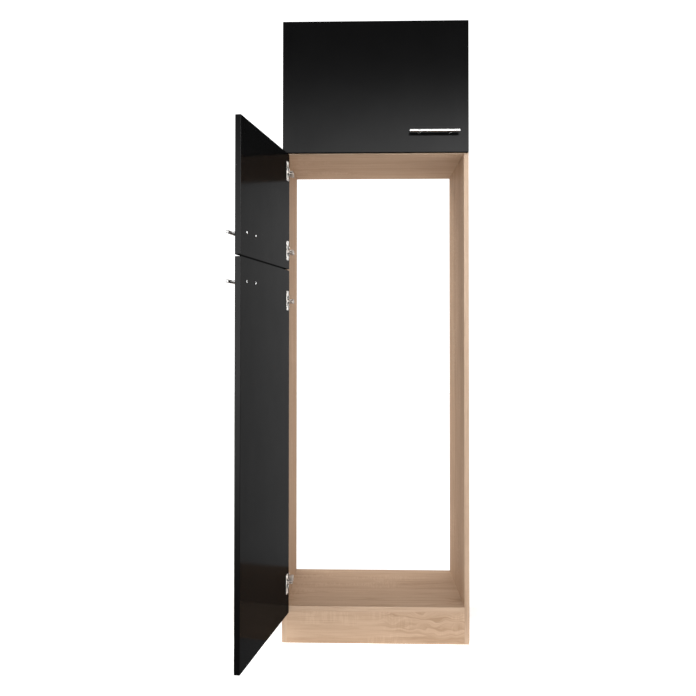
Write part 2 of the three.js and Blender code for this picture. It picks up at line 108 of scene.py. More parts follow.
class HousingFinishes(bpy.types.PropertyGroup):
    """Colours and gloss of the surfaces."""

    oak_light: colour("Oak, light", "Early wood of the decor", (0.47, 0.335, 0.235))
    oak_dark: colour("Oak, dark", "Late wood of the decor", (0.335, 0.225, 0.147))
    oak_pore: colour("Oak, pores", "Pores of the decor", (0.24, 0.155, 0.10))
    oak_roughness: share("Oak, roughness", "Of the coated decor", 0.52)
    oak_gloss: share("Oak, gloss", "Strength of the decor's sheen", 0.05)
    edging_gloss: share("Edging, gloss", "Added sheen of the edging", 0.52)
    chip_light: colour("Chipboard, light", "Light chips of a raw edge", (0.46, 0.33, 0.20))
    chip_dark: colour("Chipboard, dark", "Dark chips of a raw edge", (0.23, 0.14, 0.07))
    front_colour: colour("Front", "Coating of the fronts", (0.0024, 0.0024, 0.0025))
    front_gloss: share("Front, gloss", "Strength of the coating's sheen", 0.10)
    front_roughness: share("Front, roughness", "Of the coating's sheen", 0.12)
    backing_colour: colour("Back", "Coated face of the thin back", (0.46, 0.43, 0.38))
    fibre_light: colour("Fibreboard, light", "Bare face of the thin back", (0.25, 0.155, 0.09))
    fibre_dark: colour("Fibreboard, dark", "Its darker fibres", (0.13, 0.075, 0.04))
    nickel_colour: colour("Nickel", "Plating of the cups", (0.80, 0.78, 0.745))
    arm_colour: colour("Nickel, arms", "Duller plating of arms, links and plates", (0.36, 0.315, 0.275))
    steel_colour: colour("Steel", "Brushed steel of the handles", (0.80, 0.795, 0.785))
    post_colour: colour("Steel, posts", "Darker steel of their posts", (0.42, 0.415, 0.41))
    zinc_colour: colour("Zinc", "Plating of the screws", (0.84, 0.845, 0.85))


class HousingFittings(bpy.types.PropertyGroup):
    """Sizes of the fittings that the frame doesn't give."""

    bar_radius: length("Bar radius", "Of a handle's bar", 0.00487)
    bar_rounding: length("Bar rounding", "Of the ends of a handle's bar", 0.0007)
    post_radius: length("Post radius", "Of a handle's post", 0.0035)
    foot_height: length("Foot height", "Of the wider foot of a post", 0.002)
    head_height: length("Screw head", "Height of a handle screw's head", 0.0022)
    head_radius: length("Screw head radius", "Of a handle's screw", 0.004)
    shank_radius: length("Screw shank", "Radius of a handle screw's shank", 0.0019)
    cup_radius: length("Cup radius", "Outer radius of a hinge's cup", 0.0172)
    cup_wall: length("Cup wall", "Thickness of the cup's sheet", 0.001)
    cup_depth: length("Cup depth", "Of a hinge's cup below the front's face", 0.0112)
    cup_inset: length("Cup inset", "Of the cup's centre from the hinge edge", 0.0225)
    cup_pin_inset: length("Cup pin inset", "From the front's hinge edge", 0.01)
    cup_pin_depth: length("Cup pin depth", "Below the front's inner face", 0.005)
    pin_radius: length("Pin radius", "Of the pins of a hinge", 0.00125)
    flange_rise: length("Flange", "Height of the cup's flange on the front", 0.0015)
    flange_inset: length("Flange inset", "From the front's hinge edge", 0.016)
    flange_width: length("Flange width", "Across the cup's flange", 0.025)
    flange_corner: length("Flange corner", "Radius of the flange's corners", 0.0018)
    cup_screw_pitch: length("Cup screw pitch", "Between a cup's screws", 0.048)
    cup_screw_offset: length("Cup screw offset", "Past the cup's centre", 0.006)
    link_eye: length("Link eye", "Radius of the eyes of a link", 0.0026)
    link_plate: length("Link plate", "Thickness of a link", 0.003)
    link_rise: length("Link rise", "Of the link's curve over its chord", 0.005)
    link_window: length("Link window", "Half width of the link's window", 0.0024)
    link_play: length("Link play", "Each side, between the link and the cup", 0.0005)
    arm_cheek: length("Arm cheek", "Thickness of an arm's cheeks", 0.0012)
    arm_web: length("Arm web", "Thickness of an arm's web", 0.0015)
    arm_mouth: length("Arm mouth", "From the pin to the start of the web", 0.00726)
    arm_screws: length("Arm screws", "From the pin to the side screw", 0.02326)
    arm_screw_pitch: length("Arm screw pitch", "From the side screw to the depth screw", 0.032)
    plate_base: length("Plate base", "Thickness of the mounting plate's wings", 0.0025)
    plate_wing: length("Plate wing", "Across the wings of a mounting plate", 0.017)
    plate_corner: length("Plate corner", "Radius of the wings' corners", 0.006)
    plate_screw_pitch: length("Plate screw pitch", "Between a plate's screws", 0.032)
    plate_line: length("Plate line", "From the carcass's front edges to its screws", 0.037)
    connector_radius: length("Connector", "Radius of a cam between boards", 0.0075)
    connector_inset: length("Connector inset", "From the side board to a cam's centre", 0.034)
    fine_steps: IntProperty(name="Steps", description="Sides of a turned piece", default=56, min=12)


class HousingStudio(bpy.types.PropertyGroup):
    """Camera, light and floor."""

    camera_place: numbers(
        "Camera", "Place of the camera", (-0.0569, -3.1842, 0.9857), subtype="XYZ", unit="LENGTH"
    )
    camera_yaw: number("Yaw", "Turn to the left", 0.03397, subtype="ANGLE")
    camera_pitch: number("Pitch", "Turn upwards", 0.01876, subtype="ANGLE")
    camera_roll: number("Roll", "Turn about the line of sight", 0.00093, subtype="ANGLE")
    camera_lens: number("Lens", "Focal length for a 36 mm sensor", 50.98, min=10)
    camera_shift: numbers("Shift", "Shift of the lens", (0.03413, -0.04439))
    floor_colour: colour("Floor", "Pale floor", (0.78, 0.78, 0.78))
    floor_glow: number("Floor glow", "Light of the floor sheet before the plinth", 0.72, min=0)
    floor_radius: length("Floor radius", "Of the round floor", 14.0)
    ambient: number("Ambient", "Soft light from all round", 1.05, min=0)
    front_light: number("Front light", "Power of the soft box in front", 75.0, min=0)


def finishes():
    return bpy.context.scene.housing_finishes


def fittings():
    return bpy.context.scene.housing_fittings


def arithmetic(operation, swapped=False):
    """A method that adds the Math node of an operation to a wire and another value."""
    def work(wire, other=0):
        first, second = (other, wire) if swapped else (wire, other)
        return wire.nodes.math(operation, first, second)
    return work


class Wire:
    """An output of a shader node. Arithmetic on it adds the Math nodes that work it out."""

    def __init__(self, nodes, output):
        self.nodes = nodes
        self.output = output

    __add__ = arithmetic("ADD")
    __radd__ = arithmetic("ADD", swapped=True)
    __sub__ = arithmetic("SUBTRACT")
    __rsub__ = arithmetic("SUBTRACT", swapped=True)
    __mul__ = arithmetic("MULTIPLY")
    __rmul__ = arithmetic("MULTIPLY", swapped=True)
    __truediv__ = arithmetic("DIVIDE")
    __pow__ = arithmetic("POWER")
    __abs__ = arithmetic("ABSOLUTE")


class Nodes:
    """The nodes of a material or a world."""

    def __init__(self, tree):
        self.tree = tree
        tree.nodes.clear()

    def add(self, kind, settings=None, sockets=None, output=0):
        """Adds a node: its settings first, then the values or wires of its sockets."""
        node = self.tree.nodes.new(kind)
        for name, value in (settings or {}).items():
            setattr(node, name, value)
        for key, value in (sockets or {}).items():
            if isinstance(value, Wire):
                self.tree.links.new(value.output, node.inputs[key])
            else:
                node.inputs[key].default_value = value
        return Wire(self, node.outputs[output]) if node.outputs else None

    def math(self, operation, *values):
        return self.add("ShaderNodeMath", {"operation": operation}, dict(enumerate(values)))

    def least(self, first, second):
        return self.math("MINIMUM", first, second)

    def most(self, first, second):
        return self.math("MAXIMUM", first, second)

    def place(self):
        """Where a point is on its piece."""
        return self.add("ShaderNodeTexCoord", output="Object")

    def split(self, vector):
        node = self.add("ShaderNodeSeparateXYZ", sockets={0: vector}).output.node
        return [Wire(self, output) for output in node.outputs]

    def vector(self, x, y, z):
        return self.add("ShaderNodeCombineXYZ", sockets={0: x, 1: y, 2: z})

    def grey(self, level):
        return self.vector(level, level, level)

    def noise(self, vector, detail=2.0, roughness=0.5, scale=1.0):
        sockets = {"Vector": vector, "Scale": scale, "Detail": detail, "Roughness": roughness}
        return self.add("ShaderNodeTexNoise", {"noise_dimensions": "3D"}, sockets)

    def cells(self, vector, output="Color", scale=1.0):
        sockets = {"Vector": vector, "Scale": scale}
        return self.add("ShaderNodeTexVoronoi", {"voronoi_dimensions": "3D"}, sockets, output)

    def step(self, value, low, high):
        """0 below low and 1 above high, with a smooth rise between them."""
        sockets = {"Value": value, "From Min": low, "From Max": high}
        return self.add("ShaderNodeMapRange", {"interpolation_type": "SMOOTHSTEP"}, sockets)

    def line(self, value, middle, half):
        """A soft line where a value passes its middle."""
        return 1 - self.step(abs(value - middle), half * 0.5, half)

    def blend(self, factor, first, second):
        """From the first colour to the second."""
        ends = [v if isinstance(v, Wire) else (*v, 1.0) for v in (first, second)]
        sockets = {0: factor, 6: ends[0], 7: ends[1]}
        return self.add("ShaderNodeMix", {"data_type": "RGBA"}, sockets, 2)

    def bump(self, height, distance, strength):
        sockets = {"Height": height, "Distance": distance, "Strength": strength}
        return self.add("ShaderNodeBump", sockets=sockets)


class Finish(Nodes):
    """A material of one principled surface."""

    def __init__(self, name):
        self.material = bpy.data.materials.new(name)
        self.material.use_nodes = True
        super().__init__(self.material.node_tree)

    def surface(self, **sockets):
        """Ends the material. A name's underscores stand for the spaces of its socket."""
        named = {name.replace("_", " "): value for name, value in sockets.items()}
        shader = self.add("ShaderNodeBsdfPrincipled", sockets=named)
        self.add("ShaderNodeOutputMaterial", sockets={"Surface": shader})
        return self.material


def extent(node, axis):
    """Length of a node of the frame along one axis."""
    low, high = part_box(node)
    return high[axis] - low[axis]


def middle_of(node):
    return sum(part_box(node), Vector()) / 2


def oak_finish(node, along, across, drift, raw, turned=1):
    """Oak decor of a board: its grain runs along one axis, and it has an edging strip in front.

    drift moves the figure on, so that no two boards are alike, and turned -1 runs it the other
    way. raw holds an axis and a place for each edge that is left bare chipboard.
    """
    look = finishes()
    nodes = Finish(f"oak_{node}")
    places = dict(zip("xyz", nodes.split(nodes.place())))
    edging, seam_half = 0.00082, 0.00012
    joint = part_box(node)[0].y + edging
    through = next(axis for axis in "xyz" if axis not in (along, across))
    strip = 0 if through == "y" else 1 - nodes.step(places["y"], joint - 0.00004, joint + 0.00002)
    run = places[along] * turned + strip * 0.37
    wide = places[across] + strip * 0.61 + drift
    deep = places[through]

    def figure(crosswise, lengthwise, detail=2.0, roughness=0.5):
        """Noise with so many waves in a metre across the grain and along it."""
        spot = nodes.vector(wide * crosswise, deep * crosswise, run * lengthwise)
        return nodes.noise(spot, detail, roughness)

    flame = nodes.step(figure(7.0, 2.6), 0.54, 0.66) * (1 - strip)
    sway = figure(26.0, 17.0, 1.0) - 0.5
    wide = wide + flame * sway * 0.06
    slow = figure(9.0, 0.7, 2.0, 0.45)
    ripple = figure(70.0, 5.0)
    dashes = figure(150.0, 9.0, 2.0, 0.55)
    rings = nodes.math("FRACT", slow * 13.0 + ripple * 0.4)
    late = rings ** 2.5 * (1 - nodes.step(rings, 0.93, 1.0))
    fade = nodes.step(figure(14.0, 2.0), 0.36, 0.62)
    streaks = figure(320.0, 6.0, 3.0, 0.6)
    tone = figure(26.0, 0.9)
    pores = figure(1500.0, 60.0, 2.0, 0.6)
    pits = nodes.step(pores, 0.60, 0.72) * (0.35 + late * 0.65)
    saw = figure(18.0, 170.0)
    sawn = nodes.step(figure(13.0, 4.5), 0.50, 0.60) * nodes.step(saw, 0.46, 0.58) * (1 - strip)
    amount = (
        late * fade * (0.46 + flame * 0.40)
        + nodes.step(streaks, 0.42, 0.70) * 0.34
        + nodes.step(dashes, 0.52, 0.66) * (0.26 + flame * 0.16)
        + nodes.step(tone, 0.30, 0.72) * 0.32
        + (saw - 0.5) * 0.10
        - sawn * 0.26
    )
    wood = nodes.blend(amount, look.oak_light, look.oak_dark)
    wood = nodes.blend(pits * 0.55, wood, look.oak_pore)
    seam = nodes.line(places["y"], joint, seam_half)
    wood = nodes.blend(seam * 0.45 + strip * 0.07, wood, look.oak_pore)
    gloss = look.oak_gloss * (1 - pits * 0.6) + strip * look.edging_gloss
    bare = sum(1 - nodes.step(abs(places[axis] - at), 0.00025, 0.0004) for axis, at in raw)
    spot = nodes.vector(places["x"] * 520.0, places["y"] * 520.0, places["z"] * 300.0)
    shade = nodes.split(nodes.cells(spot))[0]
    wood = nodes.blend(bare, wood, nodes.blend(shade, look.chip_light, look.chip_dark))
    roughness = look.oak_roughness + (streaks - 0.5) * 0.14 + pits * 0.10
    height = (1 - pits) * 0.5 - late * 0.12 + streaks * 0.22 - seam * 0.6 - sawn * 0.2
    return nodes.surface(
        Base_Color=wood, Roughness=nodes.most(roughness, bare * 0.86),
        Normal=nodes.bump(height + bare * shade * 1.6, 0.00006, 0.5),
        Specular_IOR_Level=0.0, Coat_Weight=gloss, Coat_Roughness=0.3,
    )


def front_finish(door):
    """Black satin coating with a fine grain, and the thin seam round its edging."""
    look = finishes()
    nodes = Finish(f"front_{door}")
    leaf = leaf_frame(door)
    sockets = {0: nodes.place(), "Location": leaf.to_translation(), "Rotation": leaf.to_euler()}
    local = nodes.add("ShaderNodeMapping", {"vector_type": "TEXTURE"}, sockets)
    across, out, up = nodes.split(local)
    low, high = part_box(f"{door}_door")
    wide = nodes.least(across, extent("top_door", 0) - across)
    tall = nodes.least(up - low.z, high.z - up)
    deep = nodes.least(0 - out, extent("top_door", 1) + out)
    rim = nodes.most(nodes.least(wide, tall), nodes.least(nodes.most(wide, tall), deep))
    seam_inset, seam_half = 0.0016, 0.00016
    seam = nodes.line(rim, seam_inset, seam_half)
    arris = 1 - nodes.step(rim, 0.0003, 0.0014)
    level = 1 - nodes.step(tall, 0.0002, 0.0007)
    grain = nodes.noise(local, 2.0, 0.55, 1600.0)
    cloud = nodes.noise(local, 3.0, 0.55, 9.0)
    wipe = nodes.noise(nodes.vector(across * 40.0, 0.0, up * 3.0), 3.0, 0.6)
    dust = nodes.step(nodes.noise(local, 1.0, 0.5, 700.0), 0.72, 0.80)
    tint = nodes.blend(dust * 0.06 + cloud * 0.016, look.front_colour, [0.08] * 3)
    gloss = look.front_gloss * (0.9 + cloud * 0.2 + arris * 0.15 - seam * 0.3) + (wipe - 0.5) * 0.012
    return nodes.surface(
        Base_Color=tint, Roughness=0.5 + grain * 0.2 + arris * 0.2,
        Normal=nodes.bump(grain - seam * 2.5, 0.00001, 0.4), Specular_IOR_Level=0.0,
        Coat_Weight=gloss * (1 - level * 0.92), Coat_Roughness=look.front_roughness,
    )


def backing_finish():
    """Thin fibreboard with a pale printed face inside and its bare brown face outside."""
    look = finishes()
    nodes = Finish("fibreboard")
    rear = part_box("compartment_back")[1].y
    outside = nodes.step(nodes.split(nodes.place())[1], rear - 0.0012, rear - 0.0004)
    fibres = nodes.noise(nodes.place(), 4.0, 0.6, 420.0)
    cloud = nodes.noise(nodes.place(), 2.0, 0.5, 12.0)
    mesh = nodes.cells(nodes.place(), "Distance", 900.0)
    darker = [c * 0.86 for c in look.backing_colour]
    pale = nodes.blend(fibres * 0.5 + cloud * 0.4, look.backing_colour, darker)
    strands = nodes.step(fibres, 0.40, 0.66) * 0.6 + cloud * 0.2
    bare = nodes.blend(strands + mesh * 0.2, look.fibre_light, look.fibre_dark)
    return nodes.surface(
        Base_Color=nodes.blend(outside, pale, bare), Roughness=0.6 + fibres * 0.2,
        Normal=nodes.bump(fibres + outside * mesh * 0.8, 0.00008, 0.6), Specular_IOR_Level=0.2,
    )


def plated_finish(name, tint, roughness, grain, streak, metallic=1.0, lip=None, whole=None):
    """Plated or brushed metal. streak scales the grain along each axis of the piece.

    Below the height lip, in a cup's bowl, shade is painted on: the plating is darkened there. whole is the
    length of a bar, from height 0, whose turned ends are dull, with a painted dark ring by their rim.
    """
    nodes = Finish(name)
    x, y, z = nodes.split(nodes.place())
    lay = nodes.vector(x * streak[0], y * streak[1], z * streak[2])
    brush = nodes.noise(lay, 3.0, 0.65)
    cloud = nodes.noise(nodes.place(), 3.0, 0.6, 160.0)
    dull = nodes.step(cloud, 0.45, 0.75)
    shade = nodes.blend(dull * 0.5 + brush * 0.3, tint, [c * 0.78 for c in tint])
    if lip is not None:
        # Painted shade: the bowl below the lip is darkened where little light gets in
        deep = 1 - nodes.step(z, lip - 0.0016, lip)
        shade = nodes.blend(deep * 0.8, shade, (0.05, 0.048, 0.045))
    if whole:
        half = whole / 2
        face = nodes.step(abs(z - half), half - 0.0005, half - 0.0001)
        radius = (x * x + y * y) ** 0.5
        turned = nodes.noise(nodes.vector(radius * 2600.0, 0.0, 0.0), 1.0, 0.5)
        # Painted reflection: a dark ring near the edge of each end face, standing in for the rim's dark
        # reflection, plus the real turning marks
        turning_and_rim_shade = nodes.step(radius, 0.003, 0.0042) * 0.8 + turned * 0.15
        shade = nodes.blend(face * turning_and_rim_shade, shade, (0.03, 0.03, 0.03))
        metallic = metallic - face * 0.9
        roughness += face * 0.4
    return nodes.surface(
        Base_Color=shade, Metallic=metallic,
        Roughness=roughness + (brush - 0.5) * grain + dull * 0.08,
        Normal=nodes.bump(brush, 0.00002, 0.35),
    )


# Colour, roughness, its unevenness and the streaks of each metal, then what it alone has
METALS = {
    "hinge_nickel": ("nickel_colour", 0.34, 0.16, (900, 180, 900), {"metallic": 0.6, "lip": 0.0}),
    "arm_nickel": ("arm_colour", 0.45, 0.18, (900, 180, 900), {"metallic": 0.2}),
    "handle_steel": (
        "steel_colour", 0.27, 0.24, (90, 90, 5200), {"whole": extent("top_handle_bar", 0)}
    ),
    "post_steel": ("post_colour", 0.30, 0.16, (90, 90, 3800), {}),
    "screw_zinc": ("zinc_colour", 0.36, 0.14, (1500, 1500, 1500), {}),
}


def metal(name):
    """A metal finish, made once."""
    if name in bpy.data.materials:
        return bpy.data.materials[name]
    tint, *settings, more = METALS[name]
    return plated_finish(name, getattr(finishes(), tint), *settings, **more)


def shift(x, y, z):
    return Matrix.Translation((x, y, z))


def spin(angle, axis):
    return Matrix.Rotation(angle, 4, axis)


def leaf_frame(door):
    """Frame of a front: X from its hinge edge, Y out of its inner face and Z up from the floor."""
    sizes = fittings()
    joint = JOINTS[f"{door}_door_swing"]
    couplings = frame["record"]["behaviour"]["couplings"]
    ratio = next(c["ratio"] for c in couplings if c["follows"] == joint["name"])
    angle = math.radians(joint["range_deg"][0]) * (1 - ratio)
    corner = shift(-sizes.cup_pin_inset, sizes.cup_pin_depth, 0)
    return shift(*joint["pos_m"][:2], 0) @ spin(angle, "Z") @ corner


def link_ends(door):
    """Places of a door's arm pins and cup pins, in X and Y."""
    return [Vector(JOINTS[f"{door}_{part}_swing"]["pos_m"][:2]) for part in ("link", "door")]


def arm_frame(door, row):
    """Frame of a hinge's fixed half: at its arm pin, along the frame's own axes."""
    return shift(*link_ends(door)[0], middle_of(f"{door}_door_{row}_hinge_arm").z)


def link_frame(door, row):
    """Frame of a link: at its arm pin, with the cup pin on its left."""
    arm_pin, cup_pin = link_ends(door)
    chord = arm_pin - cup_pin
    return arm_frame(door, row) @ spin(math.atan2(chord.y, chord.x), "Z")


def cup_frame(door, row):
    """Frame of a cup: at its centre on the front's inner face, Z out of the face."""
    height = middle_of(f"{door}_door_{row}_hinge_cup").z
    out = shift(fittings().cup_inset, 0, 0) @ spin(-QUARTER, "X")
    return shift(0, 0, height) @ (leaf_frame(door) @ out)


def from_arm_pin(node):
    """Corners of a node's box, from the arm pin of the top door's hinges."""
    pin = Vector(JOINTS["top_link_swing"]["pos_m"])
    return [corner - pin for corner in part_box(node)]


def added(name, data):
    """A new object in the scene."""
    thing = bpy.data.objects.new(name, data)
    bpy.context.scene.collection.objects.link(thing)
    return thing


def arc(centre, radius, start, end, steps):
    """Points of an arc, angles in degrees."""
    turns = [math.radians(start + (end - start) * i / steps) for i in range(steps + 1)]
    return [(centre[0] + radius * math.cos(t), centre[1] + radius * math.sin(t)) for t in turns]


def rounded_rectangle(left, right, half, corner, steps=8):
    """Outline of a rectangle with round corners, evenly about Y 0."""
    centres = (
        (left + corner, corner - half, 180), (right - corner, corner - half, 270),
        (right - corner, half - corner, 0), (left + corner, half - corner, 90),
    )
    points = []
    for x, y, start in centres:
        points += arc((x, y), corner, start, start + 90, steps)
    return points


def mesh_of(bm):
    """Turns a bmesh into a mesh with its faces pointing out."""
    bmesh.ops.recalc_face_normals(bm, faces=bm.faces)
    mesh = bpy.data.meshes.new("made")
    bm.to_mesh(mesh)
    bm.free()
    return mesh


def bridge(bm, rings):
    """Joins each ring of corners to the next. A ring of one corner is a point."""
    for low, high in zip(rings, rings[1:]):
        for i in range(max(len(low), len(high))):
            corners = [low[i % len(low)], low[(i + 1) % len(low)]]
            corners += [high[(i + 1) % len(high)], high[i % len(high)]]
            bm.faces.new(dict.fromkeys(corners))


def lathe(profile, steps):
    """Turns (radius, height) points about Z. A radius of 0 closes an end."""
    bm = bmesh.new()
    rings = []
    for radius, height in profile:
        turns = [2 * math.pi * i / steps for i in range(steps if radius else 1)]
        rings.append([bm.verts.new((radius * math.cos(t), radius * math.sin(t), height)) for t in turns])
    bridge(bm, rings)
    return mesh_of(bm)


def prism(outline, low, high):
    """Pushes an outline in X and Y along Z."""
    bm = bmesh.new()
    rings = [[bm.verts.new((x, y, z)) for x, y in outline] for z in (low, high)]
    bridge(bm, rings)
    for ring in rings:
        bm.faces.new(ring)
    return mesh_of(bm)


def block(low, high):
    """A block between two corners."""
    outline = ((low[0], low[1]), (high[0], low[1]), (high[0], high[1]), (low[0], high[1]))
    return prism(outline, low[2], high[2])


def moved(mesh, matrix):
    mesh.transform(matrix)
    return mesh


def rod(radius, start, end, steps=HOLE_STEPS):
    """A round rod from one point to another."""
    start, end = Vector(start), Vector(end)
    run = end - start
    turn = Z.rotation_difference(run).to_matrix().to_4x4()
    whole = lathe([(0, 0), (radius, 0), (radius, run.length), (0, run.length)], steps)
    return moved(whole, Matrix.Translation(start) @ turn)


def carved(mesh, joins=(), cuts=()):
    """Joins meshes to a mesh, then cuts others from it."""
    body = added("body", mesh)
    for operation, others in (("UNION", joins), ("DIFFERENCE", cuts)):
        for other in others:
            modifier = body.modifiers.new(operation, "BOOLEAN")
            modifier.operation = operation
            modifier.object = added("tool", other)
            modifier.solver = "EXACT"
    bpy.context.view_layer.update()
    graph = bpy.context.evaluated_depsgraph_get()
    result = bpy.data.meshes.new_from_object(body.evaluated_get(graph))
    for used in [modifier.object for modifier in body.modifiers] + [body]:
        bpy.data.objects.remove(used)
    return result


def softened(mesh, width, segments=2, angle=30):
    """Rounds the edges of a mesh that are sharper than an angle in degrees."""
    bm = bmesh.new()
    bm.from_mesh(mesh)
    bmesh.ops.remove_doubles(bm, verts=bm.verts, dist=TINY)
    bmesh.ops.dissolve_limit(bm, angle_limit=math.radians(1), verts=bm.verts, edges=bm.edges)
    sharp = [e for e in bm.edges if e.is_manifold and e.calc_face_angle() > math.radians(angle)]
    bmesh.ops.bevel(
        bm, geom=sharp, offset=width, segments=segments, affect="EDGES", profile=0.5, clamp_overlap=True
    )
    bm.to_mesh(mesh)
    bm.free()
    return mesh


def pair(mesh, pitch, axis):
    """Two copies of a mesh in one, a pitch apart along an axis."""
    bm = bmesh.new()
    for side in (-0.5, 0.5):
        bm.from_mesh(moved(mesh.copy(), Matrix.Translation(axis * (side * pitch))))
    return mesh_of(bm)


def fit(name, mesh, finish, matrix, body, slot, *stands_for):
    """Puts a piece in its place, lets it ride on its body and hides what it stands for."""
    crease = math.radians(32)
    mesh = mesh.copy()
    mesh.name = name
    mesh.shade_smooth()
    mesh.set_sharp_from_angle(angle=crease)
    mesh.materials.clear()
    mesh.materials.append(finish)
    piece = added(name, mesh)
    piece.matrix_world = matrix
    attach(piece, body)
    if stands_for:
        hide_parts(*stands_for)


def paint(node, finish):
    """Gives a node of the frame its material."""
    materials = frame["nodes"][node].data.materials
    materials.clear()
    materials.append(finish)


def screw_mesh(radius, height, shank, reach, recess_half=0.16, recess_long=0.62, steps=24):
    """A round-headed screw along Z with a cross recess. Its head's underside is at height 0.

    The recess is given in shares of the head's radius.
    """
    bm = bmesh.new()
    lines = [2 * i / steps - 1 for i in range(steps + 1)]
    grid = []
    for a in lines:
        row = []
        for b in lines:
            x, y = a * math.sqrt(1 - b * b / 2), b * math.sqrt(1 - a * a / 2)
            dome = height * (1 - 0.5 * (x * x + y * y) ** 1.5)
            long, wide = max(abs(a), abs(b)), min(abs(a), abs(b))
            inside = wide <= recess_half and long <= recess_long
            deep = height * 0.6 * (1 - 0.7 * long / recess_long) if inside else 0
            row.append(bm.verts.new((x * radius, y * radius, dome - deep)))
        grid.append(row)
    for i in range(steps):
        for j in range(steps):
            bm.faces.new((grid[i][j], grid[i + 1][j], grid[i + 1][j + 1], grid[i][j + 1]))
    rim = [grid[i][0] for i in range(steps)] + [grid[steps][j] for j in range(steps)]
    rim += [grid[i][steps] for i in range(steps, 0, -1)] + [grid[0][j] for j in range(steps, 0, -1)]
    loops = [rim]
    for scale, level in ((1, height * 0.12), (0.97, 0), (shank / radius, 0), (shank / radius, -reach)):
        loops.append([bm.verts.new((v.co.x * scale, v.co.y * scale, level)) for v in rim])
    bridge(bm, loops)
    bm.faces.new(loops[-1])
    return mesh_of(bm)


def bar_mesh():
    """Handle bar along Z from its start, with rounded ends."""
    sizes = fittings()
    radius, end = sizes.bar_radius, sizes.bar_rounding
    whole = extent("top_handle_bar", 0)
    low_end = [(radius - end + x, end + y) for x, y in arc((0, 0), end, -90, 0, 5)]
    high_end = [(radius - end + x, whole - end + y) for x, y in arc((0, 0), end, 0, 90, 5)]
    return lathe([(0, 0), *low_end, *high_end, (0, whole)], sizes.fine_steps)


def post_mesh(reach):
    """Handle post along Z from the front's outer face, its end shaped round the bar."""
    sizes = fittings()
    chamfer, land, bends = 0.0003, 0.0004, 5
    foot = extent("top_handle_post_inner", 0) / 2
    thin, high = sizes.post_radius, sizes.foot_height
    turns = [QUARTER * i / bends for i in range(bends + 1)]
    flare = foot - thin
    neck = [(thin + flare * (1 - math.sin(t)), high + flare * (1 - math.cos(t))) for t in turns]
    profile = [(0, 0), (foot - chamfer, 0), (foot, chamfer), (foot, high - land), *neck]
    mesh = lathe([*profile, (thin, reach), (0, reach)], sizes.fine_steps)
    for vertex in mesh.vertices:
        if vertex.co.z > reach - TINY:
            vertex.co.z = reach - math.sqrt(sizes.bar_radius ** 2 - vertex.co.y ** 2)
    return mesh


def cup_mesh():
    """Hinge cup with its flange, rim and pin, Z out of the front's inner face."""
    sizes = fittings()
    steps = sizes.fine_steps
    outer, rise = sizes.cup_radius, sizes.flange_rise
    inner, floor = outer - sizes.cup_wall, -sizes.cup_depth
    bend, roll, under = 0.0022, 0.0009, 0.0004
    bowl = [(outer - bend + x, floor + bend + y) for x, y in arc((0, 0), bend, -90, 0, 6)]
    level = rise - roll
    lip = arc((outer, level), roll, 0, 90, 4)
    lip_end = [(inner + 0.0004, level + 0.0007), (inner, level + 0.0002)]
    well = bend - sizes.cup_wall
    hollow = [(inner - well + x, floor + bend + y) for x, y in arc((0, 0), well, 0, -90, 5)]
    profile = [(0, floor), *bowl, (outer, level - under), *lip, *lip_end, *hollow]
    shell = lathe([*profile, (0, floor + sizes.cup_wall)], steps)

    wing_start, wing_drop, wing_edge, overlap, mouth_top = 0.00006, 0.0003, 0.0004, 0.0003, 0.004
    half = extent(f"{HINGE}_cup", 2) / 2
    left = sizes.flange_inset - sizes.cup_inset
    outline = rounded_rectangle(left, left + sizes.flange_width, half, sizes.flange_corner)
    wings = softened(prism(outline, wing_start, rise - wing_drop), wing_edge, 3)
    hole, head, seat, top = 0.0021, 0.0036, 0.0006, 0.0021
    sink = lathe([(0, -OVERRUN), (hole, -OVERRUN), (hole, seat), (head, top), (0, top)], HOLE_STEPS)
    sink = moved(sink, shift(sizes.cup_screw_offset, 0, 0))
    mouth = rod(outer - overlap, (0, 0, -OVERRUN), (0, 0, mouth_top), steps)
    wings = carved(wings, cuts=[mouth, pair(sink, sizes.cup_screw_pitch, Y)])

    notch_half, notch_depth, notch_reach, notch_top, pin_entry = 0.007, 0.0025, 0.009, 0.01, 0.0004
    low = (-sizes.cup_inset, -notch_half, -notch_depth)
    notch = block(low, (notch_reach - sizes.cup_inset, notch_half, notch_top))
    at = Vector((sizes.cup_pin_inset - sizes.cup_inset, 0, -sizes.cup_pin_depth))
    chord = math.sqrt(inner ** 2 - at.x ** 2) + pin_entry
    pin = rod(sizes.pin_radius, at - Y * chord, at + Y * chord, PIN_STEPS)
    return carved(carved(shell, joins=[wings], cuts=[notch]), joins=[pin])


def link_mesh():
    """Curved link between the two pins, with its eyes and window, about the arm pin."""
    sizes = fittings()
    eye_steps, play, edge = 40, 0.0002, 0.00025
    arm_pin, cup_pin = link_ends("top")
    chord, rise = (cup_pin - arm_pin).length, sizes.link_rise
    half = extent(f"{HINGE}_link", 2) / 2 - sizes.link_play
    radius = (chord * chord / 4 + rise * rise) / (2 * rise)
    centre = (-chord / 2, radius - rise)
    spread = math.degrees(math.asin(chord / 2 / radius))
    thick = sizes.link_plate / 2
    outline = arc(centre, radius + thick, -90 - spread, -90 + spread, 20)
    outline += arc(centre, radius - thick, -90 + spread, -90 - spread, 20)
    band = prism(outline, -half, half)
    eyes = [rod(sizes.link_eye, (x, 0, -half), (x, 0, half), eye_steps) for x in (0, -chord)]
    bore, past = sizes.pin_radius + play, half + OVERRUN
    bores = [rod(bore, (x, 0, -past), (x, 0, past)) for x in (0, -chord)]
    low = (-chord / 2 - rise, -2 * rise, -sizes.link_window)
    window = block(low, (-chord / 2 + rise, rise, sizes.link_window))
    return softened(carved(band, joins=eyes, cuts=[*bores, window]), edge)


